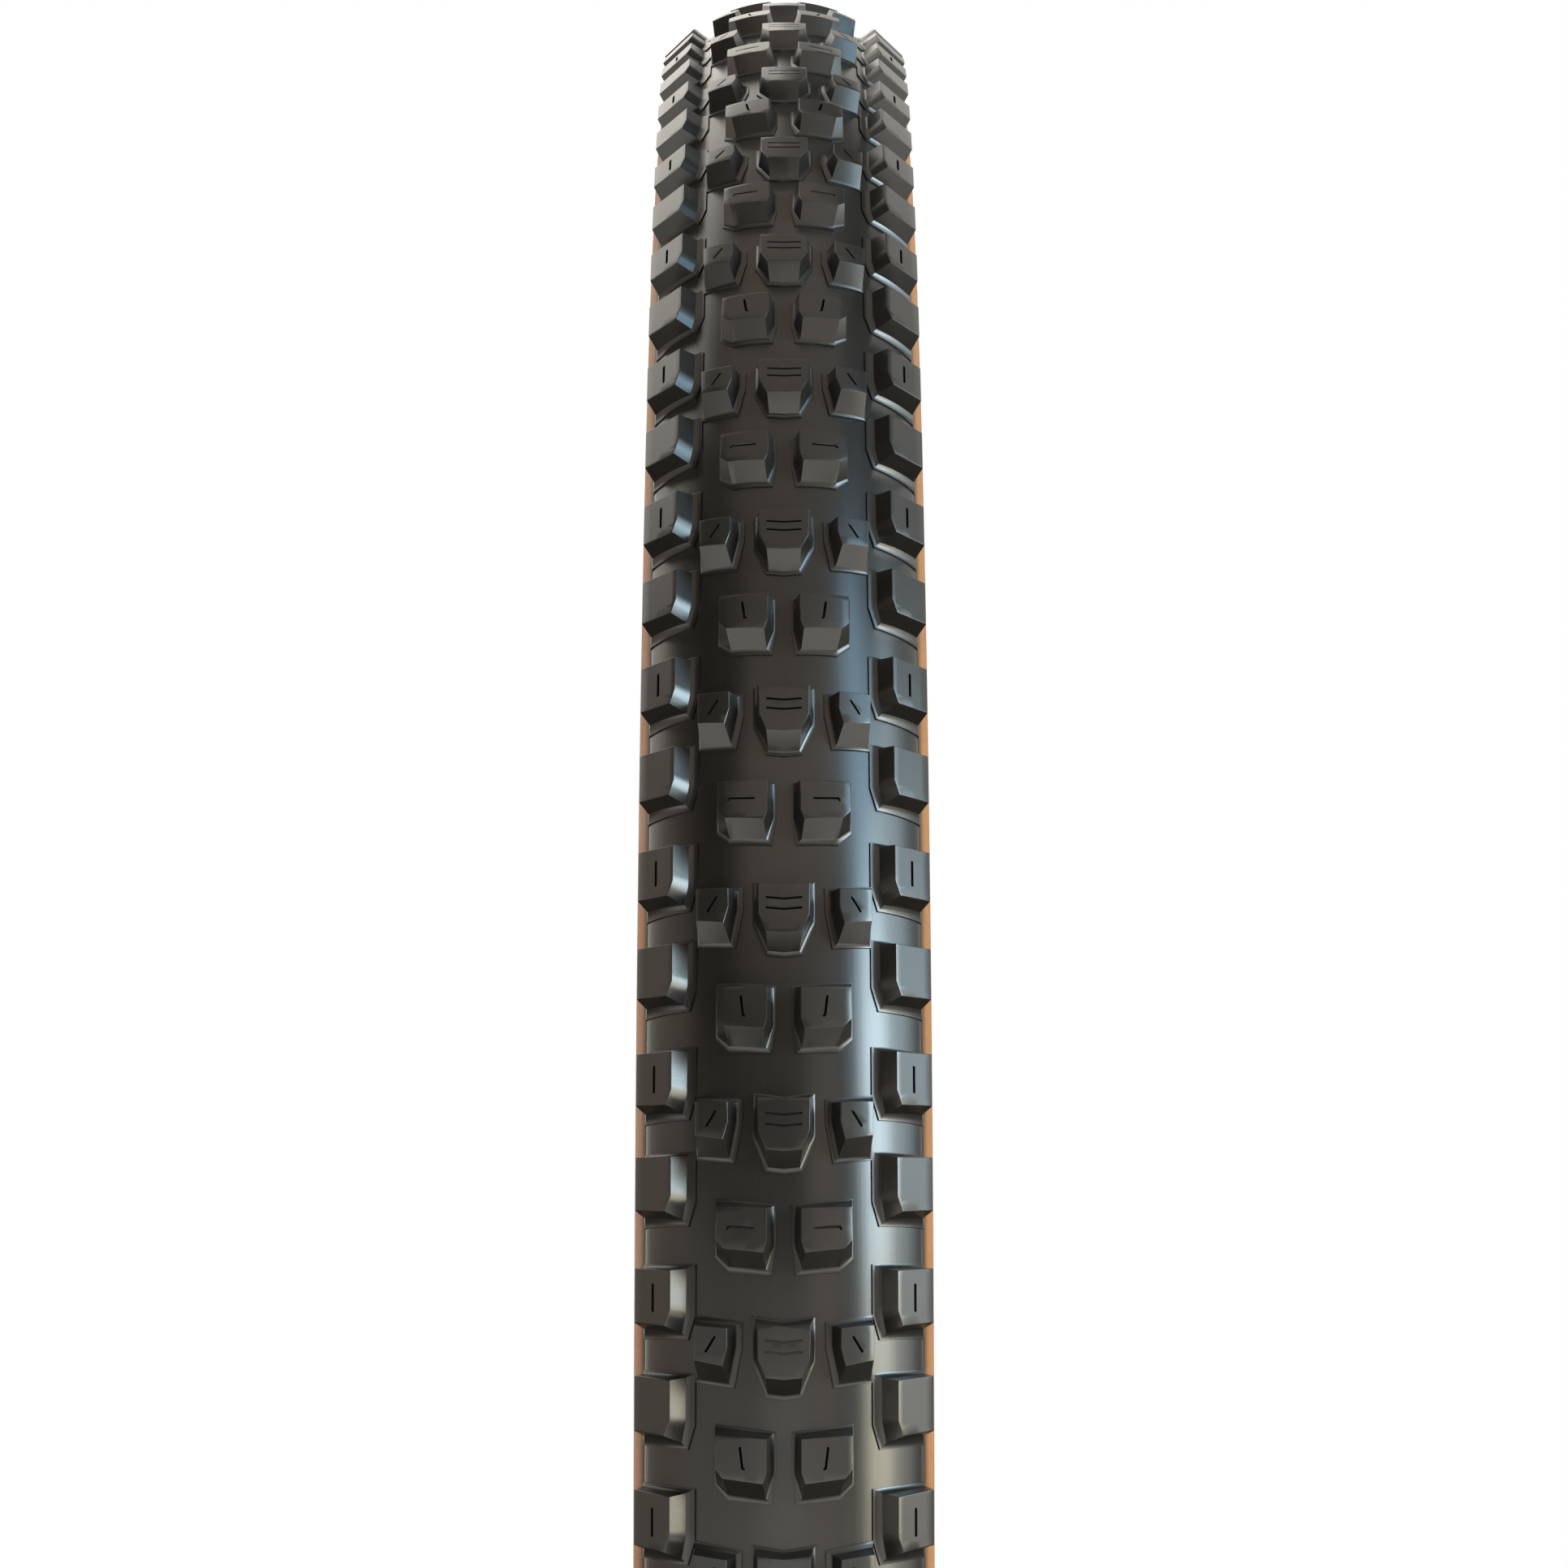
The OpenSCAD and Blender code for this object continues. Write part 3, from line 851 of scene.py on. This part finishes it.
def woven(name, base, roughness):
    """Rubberised fabric with a fine square weave."""
    s = Shader(name)
    one, two = weave(s, 3600, 10200)
    cloth = s.math("MULTIPLY", one, two)
    blotch = s.noise(50, 3)
    shade = s.math("MULTIPLY", s.vary(blotch, 0.9, 1.1), s.fit(cloth, -1, 1, 0.85, 1.1))
    return s.finish(
        base=s.scaled(base, shade), roughness=roughness, normal=s.bump(cloth, 0.3, 0.0002)
    )


def liner_rubber(name, base):
    """Inner rubber with the fine diagonal vents that a curing bladder leaves."""
    s = Shader(name)
    one, two = weave(s, 420, 1300)
    vents = s.fit(s.math("MAXIMUM", one, two), 0.82, 0.98, smooth=True)
    blotch = s.noise(30, 4)
    shade = s.math("MULTIPLY", s.vary(blotch, 0.85, 1.15), s.fit(vents, 0, 1, 1, 1.2))
    height = s.math("ADD", vents, s.math("MULTIPLY", s.noise(1500, 2), 0.25))
    return s.finish(
        base=s.scaled(base, shade),
        roughness=s.vary(blotch, 0.5, 0.62),
        normal=s.bump(height, 0.4, 0.0003),
    )


def cord(name, base, roughness):
    """A bundle of twisted strands wound round the tire."""
    s = Shader(name)
    x, y, z = s.axes(s.place)
    around = s.math("MULTIPLY", s.math("ARCTAN2", z, x), 900)
    strands = s.math("SINE", s.math("ADD", around, s.math("MULTIPLY", y, 4200)))
    rough = s.noise(1200, 3)
    shade = s.math("MULTIPLY", s.fit(strands, -1, 1, 0.75, 1.1), s.vary(rough, 0.9, 1.1))
    return s.finish(
        base=s.scaled(base, shade),
        metallic=0.0,
        roughness=roughness,
        normal=s.bump(strands, 0.5, 0.0002),
    )


KNOB_BLACK = rgb(28, 27, 25)
materials = {
    "centre_knob_rubber": knob_rubber("centre_knob_rubber", KNOB_BLACK, 0.03),
    "shoulder_knob_rubber": knob_rubber("shoulder_knob_rubber", KNOB_BLACK, 0.04),
    "tread_base_rubber": base_rubber("tread_base_rubber", rgb(27, 26, 24)),
    "tan_sidewall": tan_rubber("tan_sidewall", rgb(136, 92, 54), rgb(34, 31, 28)),
    "chafer_rubber": woven("chafer_rubber", rgb(44, 42, 40), 0.55),
    "liner_rubber": liner_rubber("liner_rubber", rgb(40, 40, 42)),
    "filler_rubber": knob_rubber("filler_rubber", rgb(48, 47, 46), 0.2),
    "casing_cord": cord("casing_cord", rgb(176, 138, 92), 0.7),
    "breaker_fabric": woven("breaker_fabric", rgb(196, 164, 70), 0.7),
    "bead_cord": cord("bead_cord", rgb(150, 148, 140), 0.5),
}


def dress(piece, material_slot, *nodes):
    """Gives a new piece its material, and puts it in the place of CAD nodes."""
    piece.data.materials.append(materials[material_slot])
    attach(piece, "root")
    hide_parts(*nodes)


def redress(node, material_slot):
    """Gives a CAD node that isn't replaced its procedural material."""
    piece = frame["nodes"][node]
    for place in piece.material_slots:
        place.material = materials[material_slot]


dress(shield_knobs(), "centre_knob_rubber", "centre_shield_knobs")
dress(
    pair_knobs("centre_pair_knobs_transverse_rubber", TRANSVERSE_SIPES, SHALLOW_SIPE, 0),
    "centre_knob_rubber",
    "centre_pair_knobs_transverse",
)
dress(
    pair_knobs("centre_pair_knobs_longitudinal_rubber", LONGITUDINAL_SIPES, SIPE_DEPTH, 1),
    "centre_knob_rubber",
    "centre_pair_knobs_longitudinal",
)
for side_name, side in (("left", 1), ("right", -1)):
    name = f"transition_knobs_{side_name}"
    dress(transition_knobs(name + "_rubber", side), "shoulder_knob_rubber", name)
    name = f"side_knobs_siped_{side_name}"
    dress(side_knobs(name + "_rubber", SIDE_SIPES, 0, side), "shoulder_knob_rubber", name)
    name = f"side_knobs_plain_{side_name}"
    dress(side_knobs(name + "_rubber", [], PLAIN_SHIFT, side), "shoulder_knob_rubber", name)
    name = f"sidewall_{side_name}"
    dress(sidewall(name + "_tan", side), "tan_sidewall", name)
    name = f"chafer_{side_name}"
    dress(chafer(name + "_fabric", side), "chafer_rubber", name)
    redress(f"bead_core_{side_name}", "bead_cord")
    redress(f"bead_filler_{side_name}", "filler_rubber")
dress(tread_base(), "tread_base_rubber", "tread_base")
dress(inner_liner(), "liner_rubber", "inner_liner")
redress("breaker_strip", "breaker_fabric")
redress("casing_ply_outer", "casing_cord")
redress("casing_ply_inner", "casing_cord")


# Stage: a plain pale floor, soft light round the tire and plain white behind it

FLOOR_RADIUS = 6
FLOOR_SIDES = 96

# The light's colours
PLAIN = (1.0, 0.96, 0.88)
WARM = (1.0, 0.84, 0.7)
LAMP = (1.0, 0.93, 0.7)
DAYLIGHT = (0.7, 0.9, 1.0)
SKY = (0.45, 0.75, 1.0)
WHITE = (1, 1, 1, 1)
GLOW = 0.06

# Each softbox has a colour, a strength, and the azimuths and elevations that it spans. Azimuth 0
# is towards the camera and 90 is towards +Y. A span past 180 goes on behind the tire.
KEY_EDGE = 3
SOFT_EDGE = 5
SOFTBOXES = [
    # a tall key light to the right of the camera: lamp, window and sky above each other
    (LAMP, 12.0, (58, 78), (-8, 10), KEY_EDGE),
    (DAYLIGHT, 25.0, (58, 78), (10, 30), KEY_EDGE),
    (SKY, 8.0, (58, 78), (30, 55), KEY_EDGE),
    # its spill round the right side
    (PLAIN, 3.0, (78, 96), (-8, 10), SOFT_EDGE),
    (DAYLIGHT, 6.0, (78, 100), (10, 40), SOFT_EDGE),
    # a weak front, strongest behind the camera, with a dark gap above it
    (PLAIN, 1.6, (-15, 15), (-8, 10), SOFT_EDGE),
    (PLAIN, 0.9, (-70, -15), (-8, 14), SOFT_EDGE),
    (WARM, 1.2, (15, 40), (-8, 30), SOFT_EDGE),
    (WARM, 1.1, (-40, 58), (36, 58), SOFT_EDGE),
    # light thrown up from the ground in front
    (PLAIN, 2.3, (-85, 85), (-42, -10), SOFT_EDGE),
    (PLAIN, 1.0, (-60, 60), (-58, -42), SOFT_EDGE),
    # left, back left, back right and overhead
    (WARM, 0.8, (-116, -70), (-8, 30), SOFT_EDGE),
    (PLAIN, 2.0, (-190, -110), (-8, 55), SOFT_EDGE),
    (PLAIN, 0.9, (112, 190), (-8, 40), SOFT_EDGE),
    (WARM, 0.6, (-180, 180), (62, 95), SOFT_EDGE),
]

# The camera: sizes in metres, millimetres for its lens and sensor, and degrees
CAMERA_DISTANCE = 4.018 * tire_radius * MM
CAMERA_PITCH = 6.667
LENS = 132.15
SENSOR = 36
CLIP_START = 0.01
CLIP_END = 100


def floor():
    """A pale round floor under the tire. Only the camera sees it, so that light comes through."""
    bpy.ops.mesh.primitive_circle_add(
        vertices=FLOOR_SIDES,
        radius=FLOOR_RADIUS,
        fill_type="NGON",
        location=(0, 0, -tire_radius * MM),
    )
    made = bpy.context.object
    made.name = "floor"
    s = Shader("floor_paint")
    s.finish(base=s.mix(s.noise(3, 2), rgb(236, 226, 222), rgb(242, 232, 229)), roughness=0.7)
    clear = s.node("ShaderNodeBsdfTransparent", {})
    seen = s.node("ShaderNodeLightPath", {}, out="Is Camera Ray")
    surface = s.node("ShaderNodeMixShader", {0: seen, 1: clear, 2: s.principled.outputs[0]})
    s.join(surface, s.tree.nodes["Material Output"].inputs["Surface"])
    made.data.materials.append(s.material)


def window(w, value, span, soft):
    """1 inside a span of degrees and 0 outside it, with soft edges."""
    low, high = span
    rise = w.fit(value, low - soft, low + soft, smooth=True)
    fall = w.fit(value, high - soft, high + soft, smooth=True)
    return w.math("MULTIPLY", rise, w.math("SUBTRACT", 1.0, fall))


def studio():
    """The light that the rubber reflects, by direction, and plain white behind the tire."""
    world = bpy.data.worlds.new("studio")
    bpy.context.scene.world = world
    world.use_nodes = True
    world.node_tree.nodes.clear()
    w = Nodes(world.node_tree)
    x, y, z = w.axes(w.node("ShaderNodeTexCoord", {}, out="Generated"))
    elevation = w.math("MULTIPLY", w.math("ARCSINE", z), math.degrees(1))
    azimuth = w.math("MULTIPLY", w.math("ARCTAN2", y, x), math.degrees(1))

    light = w.scaled(WARM, GLOW)
    for colour, strength, azimuths, elevations, soft in SOFTBOXES:
        across = window(w, azimuth, azimuths, soft)
        shape = w.math("MULTIPLY", across, window(w, elevation, elevations, soft))
        box = w.scaled(colour, w.math("MULTIPLY", shape, strength))
        light = w.node("ShaderNodeVectorMath", {0: light, 1: box}, operation="ADD")

    seen = w.node("ShaderNodeLightPath", {}, out="Is Camera Ray")
    around = w.node("ShaderNodeBackground", {"Color": light})
    behind = w.node("ShaderNodeBackground", {"Color": WHITE})
    both = w.node("ShaderNodeMixShader", {0: seen, 1: around, 2: behind})
    w.join(both, w.tree.nodes.new("ShaderNodeOutputWorld").inputs["Surface"])


def camera():
    """The camera in front of the tread, level with the axle and tilted up."""
    data = bpy.data.cameras.new("camera")
    data.sensor_width = SENSOR
    data.lens = LENS
    data.clip_start = CLIP_START
    data.clip_end = CLIP_END
    made = bpy.data.objects.new("camera", data)
    made.location = (CAMERA_DISTANCE, 0, 0)
    made.rotation_euler = Euler((math.radians(90 + CAMERA_PITCH), 0, math.radians(90)))
    bpy.context.scene.collection.objects.link(made)
    bpy.context.scene.camera = made


floor()
studio()
camera()
bpy.context.scene.view_settings.view_transform = "Standard"
